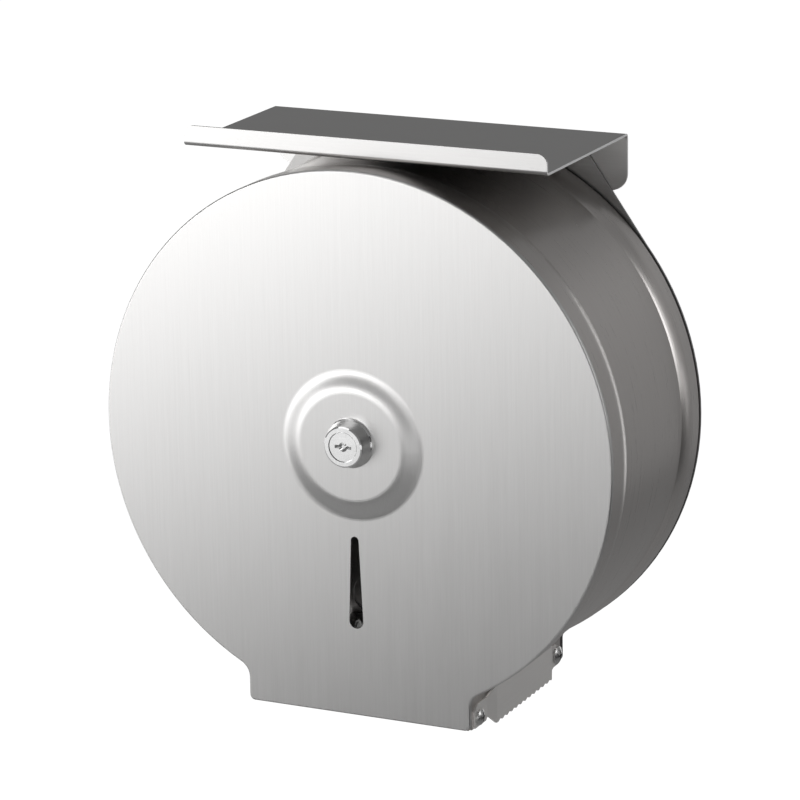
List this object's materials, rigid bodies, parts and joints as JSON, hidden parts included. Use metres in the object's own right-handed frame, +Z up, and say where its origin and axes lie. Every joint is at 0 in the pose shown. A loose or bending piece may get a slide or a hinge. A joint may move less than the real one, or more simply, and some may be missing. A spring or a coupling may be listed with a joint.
{
  "type": "jumbo toilet roll dispenser",
  "caption": "Wall-mounted drum-shaped jumbo toilet roll dispenser with a hinged cover, sight slot, cam lock, turning hub, serrated tear strips and a shelf.",
  "frame": {"origin": "on the wall plane, at the middle of the four wall screw holes, which is the drum's axis", "axes": "+X to the right seen from the front, -Y out from the wall towards the user, +Z up the wall"},
  "size_m": [0.2704, 0.126, 0.288],
  "materials": {
    "brushed_cover": "fine upright grain",
    "brushed_wall": "fine grain running round the drum",
    "pan_steel": "dull, unpolished",
    "shelf_steel": "fine grain along the shelf",
    "strip_steel": "semi-bright with pressed bends",
    "plated_fasteners": "bright plated",
    "lock_chrome": "polished",
    "lock_hardware": "dull plated",
    "hub_plastic": "moulded, light grey",
    "nylon": "moulded, dark grey"
  },
  "bodies": {
    "base": {"back_pan": "pan_steel", "hinge_ear_left": "pan_steel", "hinge_ear_right": "pan_steel", "hinge_rivets": "plated_fasteners", "pivot_bushes": "nylon", "shelf": "shelf_steel", "shelf_studs": "plated_fasteners", "shelf_washers": "plated_fasteners", "shelf_nuts": "plated_fasteners", "spindle": "pan_steel", "spindle_studs": "plated_fasteners", "spindle_washers": "plated_fasteners", "spindle_nuts": "plated_fasteners", "hub_spacer": "nylon", "hub_clip": "nylon"},
    "cover": {"front_panel": "brushed_cover", "drum_wall": "brushed_wall", "tear_strip_left": "strip_steel", "tear_strip_right": "strip_steel", "strip_screws": "plated_fasteners", "strip_nuts": "plated_fasteners", "pivot_screws": "plated_fasteners", "pivot_nuts": "plated_fasteners", "lock_barrel": "lock_chrome", "lock_washer": "lock_hardware", "lock_nut": "lock_hardware"},
    "hub": {"core_hub": "hub_plastic"},
    "lock_plug": {"lock_plug": "lock_chrome", "lock_cam": "lock_hardware", "cam_washer": "lock_hardware", "cam_screw": "lock_hardware"}
  },
  "joints": [
    {"name": "cover_swing", "type": "hinge", "parent": "base", "child": "cover", "pos_m": [0, -0.0115, -0.1315], "axis": [1, 0, 0], "range_deg": [0, 90]},
    {"name": "hub_spin", "type": "hinge", "parent": "base", "child": "hub", "pos_m": [0, 0, 0], "axis": [0, 1, 0], "continuous": true},
    {"name": "lock_turn", "type": "hinge", "parent": "cover", "child": "lock_plug", "pos_m": [0, -0.123, 0.002], "axis": [0, 1, 0], "range_deg": [0, 90]}
  ]
}
